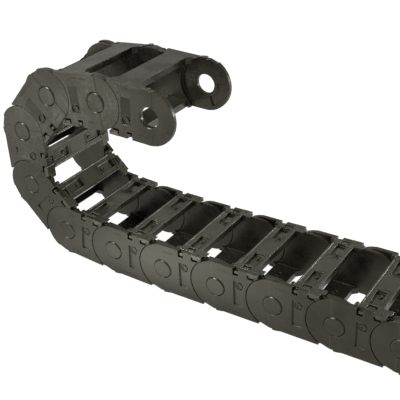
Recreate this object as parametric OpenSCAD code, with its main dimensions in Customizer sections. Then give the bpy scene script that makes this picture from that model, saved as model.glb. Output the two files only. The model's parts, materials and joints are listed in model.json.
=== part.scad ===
// Cable drag chain: twelve links of nylon, the last turn of a longer chain.
//
// Every link is one body, two side walls joined by an outer crossbar, and one inner crossbar that
// clips on. The links turn on pins moulded on the walls, between straight and a fixed full bend.
//
// Link frame: X runs from the link's pivot hole to its pivot pin, Y across the chain, and Z towards
// the inner side of the bend. Row frame: the lower run lies along X with its underside at Z = 0, and
// the origin is under the middle of the last link's outer crossbar.

/* [Chain] */
// Distance between the two pivots of a link
pitch = 56; // [55:0.5:62]
// Clear width between the side walls
inner_w = 75; // [50:1:150]
// Radius of the line of pivots at full bend
bend_r = 75; // [75:1:150]

/* [Side walls] */
// Diameter of the round end of a wall
round_d = 50; // [47:0.5:50]
// Thickness of the outer layer, which holds the pivot hole
outer_t = 3.9; // [3.5:0.1:4.5]
// Thickness of the inner layer, which ends in the tongue
inner_t = 3.8; // [3.4:0.1:4.4]
// Diameter of the pivot pin
pin_d = 17.8; // [15:0.1:18.4]

/* [Crossbars] */
// Length of the inner crossbar along the link
bar_len = 19.2; // [18:0.1:19.6]
// Thickness of the inner crossbar
bar_t = 6.5; // [5.5:0.1:7]
// Thickness of the outer crossbar
floor_t = 6; // [5:0.1:8]

/* [Clearances] */
// Gap between the flat faces of two layers that slide on each other
slip = 0.3; // [0.3:0.05:0.4]
// Radial clearance of the pin in its hole
pin_gap = 0.08; // [0.03:0.01:0.1]
// Gap round the round ends of the layers
arc_gap = 0.8; // [0.6:0.1:1]
// Gap round the legs of the inner crossbar
clip_gap = 0.2; // [0.15:0.05:0.3]

/* [Hidden] */
$fn = 96;
eps = 0.01;

// --- Chain ---
links = 12;
max_bend = 2 * asin(pitch / (2 * bend_r));
// Bend of each pivot at rest, as a share of the full bend. The first is nearest the free end.
bend_shares = [0.17, 1, 0.976, 0.99, 0.912, 0.078, 0.046, 0, 0, 0, 0];

// --- Heights and depths of a wall ---
wall = outer_t + slip + inner_t;
half_w = inner_w / 2 + wall;
disc_r = round_d / 2;
tongue_r = disc_r - 1;
top_h = disc_r;
low_h = disc_r - 1.25;
inner_d = outer_t + slip;         // depth at which the inner layer starts

// --- Outline of the two layers ---
horn_u = pitch - 0.42 * disc_r;   // where the outer layer's upper corner ends
heel_u = pitch - 0.53 * disc_r;   // where its lower corner ends
toe_u = [0.32 * disc_r, 0.56 * disc_r];      // where the inner layer starts: bottom and top
neck_u = pitch - 0.8 * disc_r;    // where the tongue's neck starts
neck_drop = 1;                    // how far the neck is below the wall's edges
heel_cut = [0.16 * disc_r, 0.46 * disc_r];   // chamfer under the round end: start and end

// --- Pivot ---
pin_r = pin_d / 2;
hole_r = pin_r + pin_gap;
hole_chamfer = 0.8;
pin_proud = 0.5;                  // how far the pin's button stands out of the wall
pin_chamfer = 0.9;
face_step = 0.3;                  // the round end's outer half is this much lower
face_step_u = 0.13 * disc_r;

// --- Stop: a lug on the tongue runs in a pocket in the round end ---
stop_r0 = pin_r + 2.8;
stop_r1 = disc_r - 4;
stop_depth = 1.6;
lug_width = 40;
lug_end = 194;                    // angle of the lug's far side on its own link
stop_play = 0.4;                  // angle left at each end

// --- Recess in the outer face: deep at its left edge, running out to the right, with a round seat ---
recess_u = [pitch / 2 - 9.7, pitch / 2 + 0.8];
recess_h = 0.5 * disc_r;
recess_depth = 1.3;
seat_centre = [pitch / 2 - 4, 0.33 * disc_r];
seat_r = 4;
seat_depth = 1.7;

// --- Inner crossbar and its seat ---
bar_u0 = 0.5 * pitch - 10.6;      // its edge nearer the link's own hole
bar_u1 = bar_u0 + bar_len;
flange_t = 2.2;                   // thickness of its ends, which lie on the walls
seat_h = top_h - flange_t - clip_gap;
flange_u1 = horn_u - 0.6;         // the ends reach further along the link than the bar
window_h = top_h - 6.6;           // foot of the two windows
leg_h = top_h - 4.4;              // foot of the legs in them
// Windows: [start, end] along the link. A leg leaves a gap on one side and under it.
windows = [[bar_u0 + 0.4, bar_u0 + 5.8], [bar_u0 + 14.2, bar_u1 + 1.6]];
leg_shift = 1.8;
cap_u1 = bar_u1 + 5.4;            // end of the cap over the second window
cap_proud = 0.3;                  // how far it stands out of the wall
rim = 1.2;
rim_h = 0.6;
pocket_u = [bar_u0 + 5.2, bar_u0 + 14];
pocket_l = 21;
pocket_depth = 2;
slot_u = [bar_u0 + 6.4, bar_u0 + 14.6];
slot_d = [outer_t + 0.9, wall + 1.8];        // depths between which the slot lies
slot_depth = 4;
latch_top = 0.4;                  // how far the latch's top is below the walls' edges

// --- Stub beside the first window, on the inner layer ---
stub_r = 1.5;
stub_u = bar_u0 - 1.6;

// --- Outer crossbar, part of the link body ---
floor_u = [pitch / 2 - 11.5, pitch / 2 + 10.6];
gusset = 4;

// --- Colours ---
link_colour = [0.16, 0.16, 0.145];
bar_colour = [0.19, 0.19, 0.17];

// Heading of a link and place of a pivot hole, from the last link back to the free end
function heading(k) = k >= links ? 0 : heading(k + 1) - bend_shares[k - 1] * max_bend;
function pivot(k) = k > links
    ? [pitch - (floor_u[0] + floor_u[1]) / 2, low_h]
    : pivot(k + 1) - pitch * [cos(heading(k)), sin(heading(k))];
function numbered(name, k) = str(name, k < 10 ? "_0" : "_", k);

// ---------------------------------------------------------------- helpers

// A link's own frame, set in its place in the chain
module in_link(k) {
    translate([pivot(k)[0], 0, pivot(k)[1]])
        rotate([0, -heading(k), 0])
            children();
}

// An outline in the link's XZ plane, given a thickness between two depths from the outer face
module layer(d0, d1) {
    translate([0, -half_w + d1, 0])
        rotate([90, 0, 0])
            linear_extrude(d1 - d0) children();
}

// Both side walls, or both ends of a crossbar
module both_sides() {
    children();
    mirror([0, 1, 0]) children();
}

// A rectangle from one corner to the other
module box_2d(u, v) {
    translate([u[0], v[0]]) square([u[1] - u[0], v[1] - v[0]]);
}

module sector_2d(r0, r1, a0, a1) {
    far = 2 * r1;
    mid = (a0 + a1) / 2;
    intersection() {
        difference() {
            circle(r = r1);
            circle(r = r0);
        }
        polygon([[0, 0], for (a = [a0, mid, a1]) far * [cos(a), sin(a)]]);
    }
}

// ---------------------------------------------------------------- side wall outlines

// Outer layer: round end at the link's hole, then straight up to the round end of the next link
module outer_layer_2d() {
    difference() {
        union() {
            circle(r = disc_r);
            box_2d([0, heel_u], [-low_h, 0]);
            box_2d([0, horn_u], [0, top_h]);
        }
        // flat underside, and the chamfer from it up to the round end
        box_2d([-disc_r - 1, 0], [-disc_r - 1, -low_h]);
        polygon([
            [-heel_cut[0], -low_h - 0.5],
            [-heel_cut[0], -low_h],
            [-heel_cut[1], -0.85 * disc_r],
            [-heel_cut[1] - 2, -disc_r - 1]
        ]);
        next_link_room_2d();
    }
}

// Room for the next link's round end, and for its upper edge at full bend
module next_link_room_2d() {
    translate([pitch, 0]) circle(r = disc_r + arc_gap);
    translate([pitch, 0]) rotate(max_bend) box_2d([0, pitch], [0, top_h + arc_gap / 2]);
}

// Inner layer: starts clear of the tongue before it, and ends in its own tongue at the pin
module inner_layer_2d() {
    difference() {
        union() {
            translate([pitch, 0]) circle(r = tongue_r);
            box_2d([neck_u - 1, pitch], [-low_h + neck_drop, top_h - neck_drop]);
            box_2d([toe_u[0], neck_u], [-low_h, 0]);
            box_2d([toe_u[1], neck_u], [0, top_h]);
        }
        circle(r = tongue_r + arc_gap);
        rotate(-max_bend) box_2d([-pitch, 0], [0, top_h + arc_gap / 2]);
    }
}

// ---------------------------------------------------------------- link body

module side_wall() {
    difference() {
        union() {
            layer(0, outer_t) outer_layer_2d();
            // the two layers are one block between the two round ends
            layer(outer_t - eps, inner_d + eps) intersection() {
                outer_layer_2d();
                inner_layer_2d();
            }
            layer(inner_d, wall) inner_layer_2d();
            layer(inner_d, wall) translate([stub_u, top_h - stub_r / 2]) circle(r = stub_r);
            stop_lug();
        }
        pivot_hole();
        stop_pocket();
        face_recess();
        layer(-1, face_step) box_2d([-disc_r - 1, -face_step_u], [-disc_r - 1, disc_r + 1]);
        crossbar_seat();
    }
    pivot_pin();
}

// A wedge cut by a sloping plane, and a round seat sunk in it
module face_recess() {
    translate([0, -half_w, -recess_h])
        linear_extrude(2 * recess_h)
            polygon([[recess_u[0], -1], [recess_u[0], recess_depth], [recess_u[1], 0], [recess_u[1], -1]]);
    layer(-1, seat_depth) translate(seat_centre) circle(r = seat_r);
}

module pivot_hole() {
    translate([0, -half_w, 0]) rotate([-90, 0, 0]) {
        translate([0, 0, -1]) cylinder(h = outer_t + 2, r = hole_r);
        translate([0, 0, -eps]) cylinder(h = hole_chamfer, r1 = hole_r + hole_chamfer, r2 = hole_r);
    }
}

// The pin fills the next link's hole and ends in a low button
module pivot_pin() {
    translate([pitch, -half_w, 0]) rotate([-90, 0, 0]) {
        translate([0, 0, pin_chamfer - pin_proud]) cylinder(h = inner_d, r = pin_r);
        translate([0, 0, -pin_proud])
            cylinder(h = pin_chamfer + eps, r1 = pin_r - pin_chamfer, r2 = pin_r);
    }
}

module stop_lug() {
    layer(inner_d - stop_depth, inner_d + eps)
        translate([pitch, 0])
            sector_2d(stop_r0 + slip, stop_r1 - slip, lug_end - lug_width, lug_end);
}

module stop_pocket() {
    layer(outer_t - stop_depth, outer_t + slip / 2)
        sector_2d(stop_r0, stop_r1, lug_end - lug_width - max_bend - stop_play, lug_end + stop_play);
}

// Lowered top edge with two windows through the wall. The outer layer stands as a tooth between them.
module crossbar_seat() {
    layer(outer_t, wall + 1) box_2d([bar_u0 - clip_gap, horn_u + 1], [seat_h, top_h + 1]);
    layer(-1, wall + 1) {
        box_2d([windows[1][0], horn_u + 1], [seat_h, top_h + 1]);
        for (w = windows) box_2d(w, [window_h, top_h + 1]);
    }
}

// The bar between the walls, with its corners filled, clear of the tongue of the link before it
module outer_crossbar() {
    bridge = inner_w / 2 + 1;
    difference() {
        union() {
            translate([floor_u[0], -bridge, -low_h])
                cube([floor_u[1] - floor_u[0], 2 * bridge, floor_t]);
            both_sides() for (side = [0, 1]) crossbar_gusset(floor_u[side], 2 * side - 1);
        }
        both_sides() layer(inner_d, wall + slip) circle(r = tongue_r + arc_gap);
    }
}

// A triangle in the corner between the bar and a wall, on the side that the direction gives
module crossbar_gusset(u, direction) {
    translate([u, -inner_w / 2, -low_h])
        linear_extrude(floor_t)
            polygon([[-direction, -1], [direction * gusset, -1], [direction * gusset, 0],
                     [0, gusset], [-direction, gusset]]);
}

module link(k) {
    color(link_colour) in_link(k) {
        both_sides() side_wall();
        outer_crossbar();
    }
}

// ---------------------------------------------------------------- inner crossbar

module crossbar_end() {
    // flange on the top edge of the inner layer
    layer(outer_t + clip_gap, wall + 2) difference() {
        box_2d([bar_u0, flange_u1], [top_h - flange_t, top_h]);
        next_link_room_2d();
    }
    // cap over the second window, out to the face of the wall
    layer(-cap_proud, wall) difference() {
        box_2d([windows[1][0] + clip_gap, cap_u1], [top_h - flange_t, top_h]);
        next_link_room_2d();
    }
    // legs in the windows
    for (w = windows)
        layer(clip_gap, wall - clip_gap)
            box_2d([w[0] + leg_shift, w[1] - clip_gap], [leg_h, top_h - flange_t + eps]);
}

// Slot over the wall and pocket beside it
module end_hollows() {
    layer(slot_d[0], slot_d[1]) box_2d(slot_u, [top_h - slot_depth, top_h + 1]);
    layer(slot_d[1] + 1, slot_d[1] + 1 + pocket_l)
        box_2d(pocket_u, [top_h - rim_h - pocket_depth, top_h + 1]);
}

// Latch left standing in the slot: it hooks over the wall and has a steep ramp to the middle
module end_latch() {
    root_d = wall + clip_gap;
    tip_d = slot_d[0] + 1.2;
    top = top_h - latch_top;
    translate([slot_u[0] + 1, -half_w, 0])
        rotate([90, 0, 90])
            linear_extrude(slot_u[1] - slot_u[0] - 2)
                polygon([
                    [slot_d[1] - 0.4, top_h - slot_depth - eps],
                    [wall, top],
                    [tip_d, top],
                    [tip_d, top_h - flange_t],
                    [root_d, top_h - flange_t],
                    [root_d, top_h - slot_depth - eps]
                ]);
}

module crossbar(k) {
    span = inner_w - 2 * clip_gap;
    field = inner_w - 6;
    color(bar_colour) in_link(k) {
        difference() {
            union() {
                translate([bar_u0, -span / 2, top_h - bar_t]) cube([bar_len, span, bar_t]);
                both_sides() crossbar_end();
            }
            // lowered field between the two rims
            translate([bar_u0 + rim, -field / 2, top_h - rim_h])
                cube([bar_len - 2 * rim, field, rim_h + 1]);
            both_sides() end_hollows();
        }
        both_sides() end_latch();
    }
}

for (k = [1:links]) {
    link(k);
    crossbar(k);
}
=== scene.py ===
"""Looks of the cable drag chain: satin moulded nylon on every link and crossbar, with index buttons,
rows of ribs, ejector rings and pocket frames, on a pale floor in soft studio light.

Moulded details are modelled once in the link frame (X from the link's hole to its pin, Y across,
Z towards the inner side of the bend), and copied to every link and crossbar."""

import json
import math

import bmesh
import bpy
from mathutils import Matrix, Vector


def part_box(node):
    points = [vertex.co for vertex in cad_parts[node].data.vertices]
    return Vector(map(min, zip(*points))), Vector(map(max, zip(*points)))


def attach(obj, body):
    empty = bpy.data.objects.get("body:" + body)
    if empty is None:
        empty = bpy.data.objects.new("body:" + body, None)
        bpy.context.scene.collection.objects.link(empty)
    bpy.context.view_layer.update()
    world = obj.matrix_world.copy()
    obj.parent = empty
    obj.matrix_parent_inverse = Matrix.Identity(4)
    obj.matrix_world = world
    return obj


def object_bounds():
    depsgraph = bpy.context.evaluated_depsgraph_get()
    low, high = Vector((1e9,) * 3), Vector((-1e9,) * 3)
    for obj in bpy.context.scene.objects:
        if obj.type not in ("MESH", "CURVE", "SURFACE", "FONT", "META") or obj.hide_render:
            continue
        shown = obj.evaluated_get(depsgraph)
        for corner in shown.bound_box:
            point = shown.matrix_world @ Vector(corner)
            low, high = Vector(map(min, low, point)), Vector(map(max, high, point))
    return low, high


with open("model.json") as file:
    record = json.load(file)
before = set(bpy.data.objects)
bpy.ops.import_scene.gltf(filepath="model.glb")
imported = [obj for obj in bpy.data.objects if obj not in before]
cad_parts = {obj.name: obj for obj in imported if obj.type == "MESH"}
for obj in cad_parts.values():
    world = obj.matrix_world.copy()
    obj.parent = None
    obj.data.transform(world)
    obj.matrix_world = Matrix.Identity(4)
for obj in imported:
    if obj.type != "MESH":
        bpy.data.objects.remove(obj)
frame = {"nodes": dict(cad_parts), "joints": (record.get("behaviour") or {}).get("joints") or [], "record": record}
cad_box = [list(corner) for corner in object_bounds()]

MM = 0.001

# ---------------------------------------------------------------- where the links are

mount_at = {m["name"]: Vector(m["pos_m"]) for m in frame["record"]["mounts"]}
joint_at = {j["name"]: Vector(j["pos_m"]) for j in frame["joints"] if j["type"] == "hinge"}
link_names = sorted(n for n in frame["nodes"] if n.startswith("link_"))
bar_names = sorted(n for n in frame["nodes"] if n.startswith("crossbar_"))
LINKS = len(link_names)

# centres of the pivots, from the free end's open hole to the fixed end's pin
pivots = [mount_at["free_end_bore_near"]]
pivots += [joint_at[f"pivot_{k:02d}_{k + 1:02d}"] for k in range(1, LINKS)]
pivots += [mount_at["fixed_end_pin_near"]]

# sizes of a link; heights are measured from the line through its pivots
low_corner, high_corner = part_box(link_names[-1])
PITCH = (pivots[-1] - pivots[-2]).xz.length
PIN_PROUD = 0.5 * MM
HALF_WIDTH = (high_corner.y - low_corner.y) / 2 - PIN_PROUD
TOP_H = 25 * MM
LOW_H = pivots[-1].z
WALL = 8 * MM
FLOOR_T = 6 * MM  # thickness of the outer crossbar
SEAT_PLACE = (PITCH / 2 - 4 * MM, 8.25 * MM)  # middle of the round seat in the outer face
SEAT_DEPTH = 1.7 * MM


def link_place(k):
    """The frame of link k, set in its place in the chain at rest."""
    here, ahead = pivots[k - 1], pivots[k]
    along = Vector((ahead.x - here.x, 0, ahead.z - here.z)).normalized()
    return Matrix(
        (
            (along.x, 0, -along.z, here.x),
            (0, 1, 0, 0),
            (along.z, 0, along.x, here.z),
            (0, 0, 0, 1),
        )
    )


# ---------------------------------------------------------------- material helpers


def add_node(tree, kind, **values):
    """Adds a shader node and sets its properties."""
    made = tree.nodes.new(kind)
    for key, value in values.items():
        setattr(made, key, value)
    return made


def colour_ramp(tree, value, stops):
    """Turns a value into a colour. Each stop is a position and its colour."""
    made = add_node(tree, "ShaderNodeValToRGB")
    elements = made.color_ramp.elements
    for element, (position, colour) in zip((elements[0], elements[1]), (stops[0], stops[-1])):
        element.position = position
        element.color = (*colour, 1)
    for position, colour in stops[1:-1]:
        elements.new(position).color = (*colour, 1)
    tree.links.new(value, made.inputs["Fac"])
    return made.outputs["Color"]


def map_value(tree, value, given, wanted):
    """Maps the given range of a value onto the wanted one, and holds its ends outside that range."""
    made = add_node(tree, "ShaderNodeMapRange")
    numbers = {"From Min": given[0], "From Max": given[1], "To Min": wanted[0], "To Max": wanted[1]}
    for socket, number in numbers.items():
        made.inputs[socket].default_value = number
    tree.links.new(value, made.inputs["Value"])
    return made.outputs["Result"]


def noise(tree, coords, scale, detail, roughness=0.55):
    made = add_node(tree, "ShaderNodeTexNoise")
    made.inputs["Scale"].default_value = scale
    made.inputs["Detail"].default_value = detail
    made.inputs["Roughness"].default_value = roughness
    tree.links.new(coords, made.inputs["Vector"])
    return made.outputs["Fac"]


def combine(tree, operation, first, second):
    made = add_node(tree, "ShaderNodeMath", operation=operation)
    tree.links.new(first, made.inputs[0])
    tree.links.new(second, made.inputs[1])
    return made.outputs["Value"]


def blend_colour(tree, share, first, second):
    """Mixes a colour socket with a fixed colour."""
    made = add_node(tree, "ShaderNodeMix", data_type="RGBA")
    tree.links.new(share, made.inputs[0])
    tree.links.new(first, made.inputs[6])
    made.inputs[7].default_value = (*second, 1)
    return made.outputs[2]


def edge_share(tree, radius, agreement):
    """How near the surface is to an edge, from the turn that a rounded normal takes there."""
    rounded = add_node(tree, "ShaderNodeBevel", samples=4)
    rounded.inputs["Radius"].default_value = radius
    surface = add_node(tree, "ShaderNodeNewGeometry")
    agree = add_node(tree, "ShaderNodeVectorMath", operation="DOT_PRODUCT")
    tree.links.new(rounded.outputs["Normal"], agree.inputs[0])
    tree.links.new(surface.outputs["Normal"], agree.inputs[1])
    return map_value(tree, agree.outputs["Value"], agreement, (0, 1))


def relief(tree, height, strength, distance, under):
    """Adds the relief of a pattern to the normal under it."""
    made = add_node(tree, "ShaderNodeBump")
    made.inputs["Strength"].default_value = strength
    made.inputs["Distance"].default_value = distance
    tree.links.new(height, made.inputs["Height"])
    tree.links.new(under, made.inputs["Normal"])
    return made.outputs["Normal"]


# ---------------------------------------------------------------- moulded nylon

# patterns of the surface: features per metre, then the strength and depth of their relief
WARP_SCALE, WARP_STRENGTH, WARP_DEPTH = 18, 0.5, 3.4 * MM
CLOUD_SCALE, CLOUD_STRENGTH, CLOUD_DEPTH = 48, 0.6, 0.9 * MM
GRAIN_SCALE, GRAIN_STRENGTH, GRAIN_DEPTH = 2400, 0.3, 0.04 * MM
SPECKLE_SCALE = 420

DARKEST, LIGHTEST = 0.32, 0.7  # values of the clouds at the ends of the colour range
CLOUD_SPAN = (0.35, 0.65)
POLISH = (0.7, 1.3)  # the roughness is multiplied by this, over the span of the clouds
SPECKLE_SPAN = (0.3, 0.75)
GRIT = (-0.06, 0.08)  # added to the roughness, over the span of the speckle

EDGE_RADIUS = 0.8 * MM  # how round the moulded edges look
WEAR_AND_HIGHLIGHT_REACH = 1.1 * MM  # how far from an edge the rubbing and the painted highlight show
WEAR_AND_HIGHLIGHT_AGREEMENT = (0.985, 0.82)  # agreement of the normals where the rubbing and painted highlight start and where they are full
WEAR_AND_HIGHLIGHT_SPECKLE = (0.38, 0.6)
WEAR_AND_HIGHLIGHT_SHARE = (0.2, 0.9)  # how much of the edge is rubbed and lightened as a painted highlight, over the span of the speckle above
# paler colour of rubbed edges, which is also a painted highlight along every edge
RUBBED_AND_HIGHLIGHT = (0.055, 0.052, 0.042)
LINK_TINT = (1, 0.93, 0.7)
BAR_TINT = (1, 1, 0.78)


def moulded_nylon(name, dark, light, tint, rough, gloss):
    """Satin filled nylon: slightly warped, with cloudy flow marks, a fine grain and paler rubbed edges, the
    paleness partly a painted highlight along the edges.
    """
    made = bpy.data.materials.new(name)
    made.use_nodes = True
    tree = made.node_tree
    shader = tree.nodes["Principled BSDF"]
    coords = add_node(tree, "ShaderNodeTexCoord").outputs["Object"]

    clouds = noise(tree, coords, CLOUD_SCALE, detail=4, roughness=0.6)
    speckle = noise(tree, coords, SPECKLE_SCALE, detail=3, roughness=0.6)
    base = colour_ramp(tree, clouds, [(DARKEST, dark), (LIGHTEST, light)])
    # edges are painted paler, partly as real wear and partly as a painted highlight along every edge
    spots = map_value(tree, speckle, WEAR_AND_HIGHLIGHT_SPECKLE, WEAR_AND_HIGHLIGHT_SHARE)
    wear_and_highlight = combine(tree, "MULTIPLY", edge_share(tree, WEAR_AND_HIGHLIGHT_REACH, WEAR_AND_HIGHLIGHT_AGREEMENT), spots)
    tree.links.new(blend_colour(tree, wear_and_highlight, base, RUBBED_AND_HIGHLIGHT), shader.inputs["Base Color"])

    polish = map_value(tree, clouds, CLOUD_SPAN, POLISH)
    grit = map_value(tree, speckle, SPECKLE_SPAN, (rough + GRIT[0], rough + GRIT[1]))
    tree.links.new(combine(tree, "MULTIPLY", polish, grit), shader.inputs["Roughness"])

    rounded = add_node(tree, "ShaderNodeBevel", samples=8)
    rounded.inputs["Radius"].default_value = EDGE_RADIUS
    slow = noise(tree, coords, WARP_SCALE, detail=1)
    fine = noise(tree, coords, GRAIN_SCALE, detail=2)
    warp = relief(tree, slow, WARP_STRENGTH, WARP_DEPTH, rounded.outputs["Normal"])
    sinks = relief(tree, clouds, CLOUD_STRENGTH, CLOUD_DEPTH, warp)
    grain = relief(tree, fine, GRAIN_STRENGTH, GRAIN_DEPTH, sinks)
    tree.links.new(grain, shader.inputs["Normal"])
    shader.inputs["Specular IOR Level"].default_value = gloss
    shader.inputs["Specular Tint"].default_value = (*tint, 1)
    return made


LINK_SHADES = [
    moulded_nylon("link_nylon", (0.0065, 0.0062, 0.0048), (0.017, 0.016, 0.012), LINK_TINT, 0.3, 0.36),
    moulded_nylon("link_nylon_deep", (0.006, 0.0057, 0.0044), (0.0155, 0.0146, 0.011), LINK_TINT, 0.33, 0.34),
]
BAR_SHADES = [
    moulded_nylon("crossbar_nylon", (0.01, 0.01, 0.0079), (0.022, 0.022, 0.0174), BAR_TINT, 0.31, 0.6),
    moulded_nylon("crossbar_nylon_deep", (0.009, 0.009, 0.0071), (0.02, 0.02, 0.0158), BAR_TINT, 0.34, 0.57),
]


def shade(shades, k):
    """The mouldings come from two batches, one a little deeper than the other."""
    return shades[k % len(shades)]


# ---------------------------------------------------------------- modelling helpers

SAME_WAY = 0.99  # cosine above which a face counts as looking along a direction
SHARP_EDGE = math.radians(40)  # edges that turn by more than this are rounded
SMOOTH_EDGE = math.radians(35)  # edges that turn by less than this are shaded smooth


def clear_selection():
    bpy.ops.object.select_all(action="DESELECT")


def start_cylinder(radius, height, place, turn=(0, 0, 0), corners=40):
    clear_selection()
    bpy.ops.mesh.primitive_cylinder_add(
        vertices=corners, radius=radius, depth=height, location=place, rotation=turn
    )


def start_block(low, high):
    """A block between two corners."""
    clear_selection()
    middle = [(a + b) / 2 for a, b in zip(low, high)]
    bpy.ops.mesh.primitive_cube_add(size=1, location=middle, scale=[b - a for a, b in zip(low, high)])
    bpy.ops.object.transform_apply(location=True, rotation=True, scale=True)


def pick_faces(*ways):
    """In edit mode, selects the faces that look along one of the directions."""
    thing = bpy.context.object
    mesh = bmesh.from_edit_mesh(thing.data)
    turn = thing.matrix_world.to_3x3()
    bpy.ops.mesh.select_mode(type="FACE")
    bpy.ops.mesh.select_all(action="DESELECT")
    for face in mesh.faces:
        looks = (turn @ face.normal).normalized()
        face.select_set(any(looks.dot(Vector(way)) > SAME_WAY for way in ways))
    bmesh.update_edit_mesh(thing.data)


def dish(way, rim, depth):
    """Leaves a rim round the faces that look along the direction, and sinks what is inside it."""
    bpy.ops.object.mode_set(mode="EDIT")
    pick_faces(way)
    bpy.ops.mesh.inset(thickness=rim)
    sink = [-depth * w for w in way]
    bpy.ops.mesh.extrude_region_move(TRANSFORM_OT_translate={"value": sink})
    bpy.ops.object.mode_set(mode="OBJECT")


def finish_piece(name, rounding):
    """Applies the piece's place, rounds its edges and shades it smooth."""
    bpy.ops.object.transform_apply(location=True, rotation=True, scale=True)
    piece = bpy.context.object
    piece.name = name
    edges = piece.modifiers.new("edges", "BEVEL")
    edges.width = rounding
    edges.segments = 2
    edges.limit_method = "ANGLE"
    edges.angle_limit = SHARP_EDGE
    bpy.ops.object.modifier_apply(modifier=edges.name)
    bpy.ops.object.shade_smooth_by_angle(angle=SMOOTH_EDGE)
    return piece


def join_pieces(pieces, name):
    clear_selection()
    for piece in pieces:
        piece.select_set(True)
    bpy.context.view_layer.objects.active = pieces[0]
    bpy.ops.object.join()
    pieces[0].name = name
    return pieces[0]


def mirrored_copy(piece):
    """The same piece on the other side of the chain's middle plane."""
    mesh = piece.data.copy()
    mesh.transform(Matrix.Scale(-1, 4, (0, 1, 0)))
    mesh.flip_normals()
    twin = bpy.data.objects.new(piece.name + "_far", mesh)
    bpy.context.scene.collection.objects.link(twin)
    return twin


def place_copy(pattern, name, k, body, material):
    """Puts a copy of the pattern on link k, as a piece that rides on the body."""
    mesh = pattern.data.copy()
    mesh.name = name
    mesh.transform(link_place(k))
    mesh.materials.clear()
    mesh.materials.append(material)
    piece = bpy.data.objects.new(name, mesh)
    bpy.context.scene.collection.objects.link(piece)
    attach(piece, body)


# ---------------------------------------------------------------- moulded details of a link

SUNK = 0.1 * MM  # how far a detail's foot is set into the surface that carries it
ALONG_Y = (math.radians(90), 0, 0)


def index_button():
    """Dished button in the round seat of the outer face, its top a little below that face."""
    foot, top = SEAT_DEPTH + SUNK, 0.5 * MM
    radius, rim, depth = 2.8 * MM, 0.75 * MM, 0.6 * MM
    place = (SEAT_PLACE[0], -HALF_WIDTH + (foot + top) / 2, SEAT_PLACE[1])
    start_cylinder(radius, foot - top, place, ALONG_Y)
    dish((0, -1, 0), rim, depth)
    return finish_piece("index_button", 0.12 * MM)


def rib_row(name, start, count, low, height):
    """A row of short upright ribs on the outer face, each with a drafted top."""
    width, step, proud = 0.6 * MM, 1.75 * MM, 0.25 * MM
    draft = (0.6, 1, 0.85)
    face = -HALF_WIDTH
    start_block((start, face - proud, low), (start + width, face + SUNK, low + height))
    bpy.ops.object.mode_set(mode="EDIT")
    pick_faces((0, -1, 0))
    bpy.ops.transform.resize(value=draft)
    bpy.ops.object.mode_set(mode="OBJECT")
    row = bpy.context.object.modifiers.new("row", "ARRAY")
    row.use_relative_offset = False
    row.use_constant_offset = True
    row.constant_offset_displace = (step, 0, 0)
    row.count = count
    bpy.ops.object.modifier_apply(modifier=row.name)
    return finish_piece(name, 0.08 * MM)


def floor_ejector_mark(across):
    """Ring left by an ejector pin on the inner face of the outer crossbar."""
    radius, rim, depth, proud = 3.2 * MM, 0.6 * MM, 0.1 * MM, 0.12 * MM
    place = (PITCH / 2 - 0.5 * MM, across, -LOW_H + FLOOR_T + (proud - SUNK) / 2)
    start_cylinder(radius, proud + SUNK, place)
    dish((0, 0, 1), rim, depth)
    return finish_piece("floor_ejector_mark", 0.04 * MM)


link_details = join_pieces(
    [
        index_button(),
        rib_row("lower_ribs", start=6 * MM, count=12, low=-21.2 * MM, height=2 * MM),
        rib_row("upper_ribs", start=2.5 * MM, count=6, low=18 * MM, height=1.8 * MM),
        floor_ejector_mark(across=-22 * MM),
    ],
    "link_details",
)

# ---------------------------------------------------------------- moulded details of a crossbar

BAR_U0 = PITCH / 2 - 10.6 * MM  # edge of the crossbar nearest the link's hole
FIELD = TOP_H - 0.6 * MM  # height of the sunk field between the rims
POCKET_FLOOR = FIELD - 2 * MM
POCKET_U = (BAR_U0 + 5.2 * MM, BAR_U0 + 14 * MM)
POCKET_D = (WALL + 2.8 * MM, WALL + 23.8 * MM)  # from the outer face inwards


def pocket_frame():
    """Raised frame round the pocket at a crossbar's end."""
    width, height = 0.8 * MM, 0.45 * MM
    low = (POCKET_U[0] - width, -HALF_WIDTH + POCKET_D[0], FIELD - SUNK)
    high = (POCKET_U[1] + width, -HALF_WIDTH + POCKET_D[1] + width, FIELD + height)
    start_block(low, high)
    bpy.ops.object.mode_set(mode="EDIT")
    pick_faces((0, 0, 1), (0, 0, -1))
    bpy.ops.mesh.inset(thickness=width)
    bpy.ops.mesh.bridge_edge_loops()
    bpy.ops.object.mode_set(mode="OBJECT")
    return finish_piece("pocket_frame", 0.1 * MM)


def pocket_button():
    """Small dished button on the pocket's floor."""
    radius, height, rim, depth = 1.9 * MM, 1.1 * MM, 0.5 * MM, 0.6 * MM
    place = (PITCH / 2 - 0.7 * MM, -HALF_WIDTH + 26.3 * MM, POCKET_FLOOR + (height - SUNK) / 2)
    start_cylinder(radius, height + SUNK, place, corners=28)
    dish((0, 0, 1), rim, depth)
    return finish_piece("pocket_button", 0.1 * MM)


def cap_eye():
    """Small eye in the cap over the second window."""
    radius, height, rim, depth = 1.2 * MM, 0.2 * MM, 0.4 * MM, 0.28 * MM
    place = (BAR_U0 + 19.8 * MM, -HALF_WIDTH + 3.2 * MM, TOP_H + (height - SUNK) / 2)
    start_cylinder(radius, height + SUNK, place, corners=24)
    dish((0, 0, 1), rim, depth)
    return finish_piece("cap_eye", 0.05 * MM)


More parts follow.
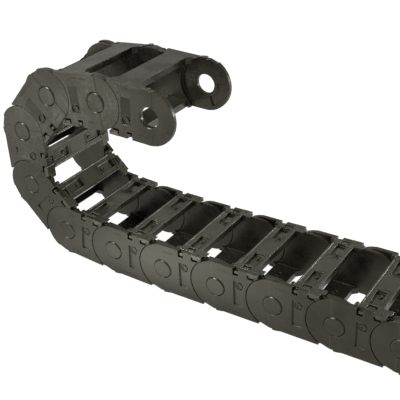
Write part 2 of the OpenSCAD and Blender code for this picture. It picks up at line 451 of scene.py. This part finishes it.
def cross_rib():
    """A short rib across the field, between the pocket and the middle of the bar."""
    width, height, gap = 0.8 * MM, 0.3 * MM, 2.4 * MM
    low = (BAR_U0 + 4 * MM, -HALF_WIDTH + POCKET_D[1] + gap, FIELD - SUNK)
    high = (BAR_U0 + 15 * MM, low[1] + width, FIELD + height)
    start_block(low, high)
    bpy.ops.object.mode_set(mode="EDIT")
    pick_faces((0, 0, 1))
    bpy.ops.transform.resize(value=(0.96, 0.6, 1))
    bpy.ops.object.mode_set(mode="OBJECT")
    return finish_piece("cross_rib", 0.08 * MM)


bar_details = join_pieces([pocket_frame(), pocket_button(), cap_eye(), cross_rib()], "bar_details")

# ---------------------------------------------------------------- every link and crossbar

link_sides = (("near", link_details), ("far", mirrored_copy(link_details)))
bar_sides = (("near", bar_details), ("far", mirrored_copy(bar_details)))

for k in range(1, LINKS + 1):
    link, bar = link_names[k - 1], bar_names[k - 1]
    link_shade, bar_shade = shade(LINK_SHADES, k), shade(BAR_SHADES, k)
    for name, material in ((link, link_shade), (bar, bar_shade)):
        node = frame["nodes"][name]
        node.data.materials.clear()
        node.data.materials.append(material)
    for side, pattern in link_sides:
        place_copy(pattern, f"{link}_details_{side}", k, link, link_shade)
    for side, pattern in bar_sides:
        place_copy(pattern, f"{bar}_details_{side}", k, bar, bar_shade)

for _, pattern in link_sides + bar_sides:
    bpy.data.objects.remove(pattern)

# ---------------------------------------------------------------- floor

FLOOR_SIDE = 12  # metres
FLOOR_GREY = (0.12, 0.12, 0.12, 1)
FLOOR_LIGHT = (1, 1, 0.985, 1)
FLOOR_GLOW = 0.97
# painted light on the floor: a strip and a pool that glow brighter than the even floor and light the links beside
# them
STRIP_GLOW = 2.5
POOL_GLOW = 5.5
POOL_PLACE = (-0.62, -0.345, 0)
POOL_FADE = (0.02, 0.11)  # distances from its middle between which the painted pool of light fades out

# the painted strip of light fades in from the first place of each pair to the second
STRIP_BY_CHAIN = (-0.05, -0.08)
STRIP_BY_VIEWER = (-0.3, -0.16)
STRIP_BY_FIXED_END = (-0.12, -0.26)
STRIP_BY_BEND = (-0.41, -0.3)


def glowing_floor_paint():
    """Even glow, with a painted strip of light in front of the lower run and a painted pool of light before the
    bend, which glow to light the links near them.
    """
    made = bpy.data.materials.new("floor_paint")
    made.use_nodes = True
    tree = made.node_tree
    paint = tree.nodes["Principled BSDF"]
    paint.inputs["Base Color"].default_value = FLOOR_GREY
    paint.inputs["Roughness"].default_value = 0.9
    paint.inputs["Specular IOR Level"].default_value = 0.1
    paint.inputs["Emission Color"].default_value = FLOOR_LIGHT

    spot = add_node(tree, "ShaderNodeTexCoord").outputs["Object"]
    spread = add_node(tree, "ShaderNodeSeparateXYZ")
    tree.links.new(spot, spread.inputs["Vector"])
    # painted strip of light in front of the lower run
    by_chain = map_value(tree, spread.outputs["Y"], STRIP_BY_CHAIN, (0, 1))
    by_viewer = map_value(tree, spread.outputs["Y"], STRIP_BY_VIEWER, (0, 1))
    by_fixed_end = map_value(tree, spread.outputs["X"], STRIP_BY_FIXED_END, (0, 1))
    by_bend = map_value(tree, spread.outputs["X"], STRIP_BY_BEND, (0, STRIP_GLOW))
    depth = combine(tree, "MULTIPLY", by_chain, by_viewer)
    strip = combine(tree, "MULTIPLY", depth, combine(tree, "MULTIPLY", by_fixed_end, by_bend))

    # painted pool of light, brightest at its middle
    reach = add_node(tree, "ShaderNodeVectorMath", operation="DISTANCE")
    tree.links.new(spot, reach.inputs[0])
    reach.inputs[1].default_value = POOL_PLACE
    pool = map_value(tree, reach.outputs["Value"], POOL_FADE, (FLOOR_GLOW + POOL_GLOW, FLOOR_GLOW))
    tree.links.new(combine(tree, "ADD", strip, pool), paint.inputs["Emission Strength"])
    return made


clear_selection()
bpy.ops.mesh.primitive_plane_add(size=FLOOR_SIDE, location=(0, 0, cad_box[0][2]))
floor = bpy.context.object
floor.name = "floor"
floor.data.materials.append(glowing_floor_paint())

# ---------------------------------------------------------------- studio light

WARM_WHITE = (1, 0.98, 0.9, 1)
AIM = Vector((-0.18, 0, 0.07))  # a place inside the loop, which the lamps point at

# brightness of the studio by the height that one looks at: bright at the horizon, then a dimmer
# stretch, a bright band of wall and a dim ceiling
GLOW_BY_HEIGHT = [(0, 1), (0.09, 1), (0.16, 0.4), (0.3, 0.4), (0.42, 1), (0.56, 1), (0.72, 0.1)]


def studio_walls():
    made = bpy.data.worlds.new("studio")
    made.use_nodes = True
    tree = made.node_tree
    direction = add_node(tree, "ShaderNodeTexCoord").outputs["Generated"]
    parts = add_node(tree, "ShaderNodeSeparateXYZ")
    tree.links.new(direction, parts.inputs["Vector"])
    band = colour_ramp(tree, parts.outputs["Z"], [(height, (glow,) * 3) for height, glow in GLOW_BY_HEIGHT])
    backdrop = tree.nodes["Background"]
    backdrop.inputs["Color"].default_value = WARM_WHITE
    tree.links.new(band, backdrop.inputs["Strength"])
    return made


def softbox(name, place, side, power):
    """A square lamp that points into the loop."""
    lamp = bpy.data.lights.new(name, "AREA")
    lamp.shape = "SQUARE"
    lamp.size = side
    lamp.energy = power
    holder = bpy.data.objects.new(name, lamp)
    holder.location = place
    holder.rotation_mode = "QUATERNION"
    holder.rotation_quaternion = (AIM - Vector(place)).to_track_quat("-Z", "Y")
    bpy.context.scene.collection.objects.link(holder)


bpy.context.scene.world = studio_walls()
softbox("key_light", (-0.91, -0.73, 1.16), side=0.4, power=24)
softbox("strip_light", (0.78, 0.96, 0.2), side=0.3, power=10)

# ---------------------------------------------------------------- camera

CAMERA_PLACE = (0.1178, -0.5307, 0.4325)
LENS_MM, SENSOR_MM = 72.86, 36
HEADING, DROP, ROLL = (math.radians(a) for a in (33.857, 29.146, -2.37))

camera_data = bpy.data.cameras.new("camera")
camera_data.sensor_width = SENSOR_MM
camera_data.lens = LENS_MM
camera = bpy.data.objects.new("camera", camera_data)
camera.matrix_world = (
    Matrix.Translation(CAMERA_PLACE)
    @ Matrix.Rotation(HEADING, 4, "Z")
    @ Matrix.Rotation(math.radians(90) - DROP, 4, "X")
    @ Matrix.Rotation(ROLL, 4, "Z")
)
bpy.context.scene.collection.objects.link(camera)
bpy.context.scene.camera = camera
bpy.context.scene.view_settings.view_transform = "Standard"
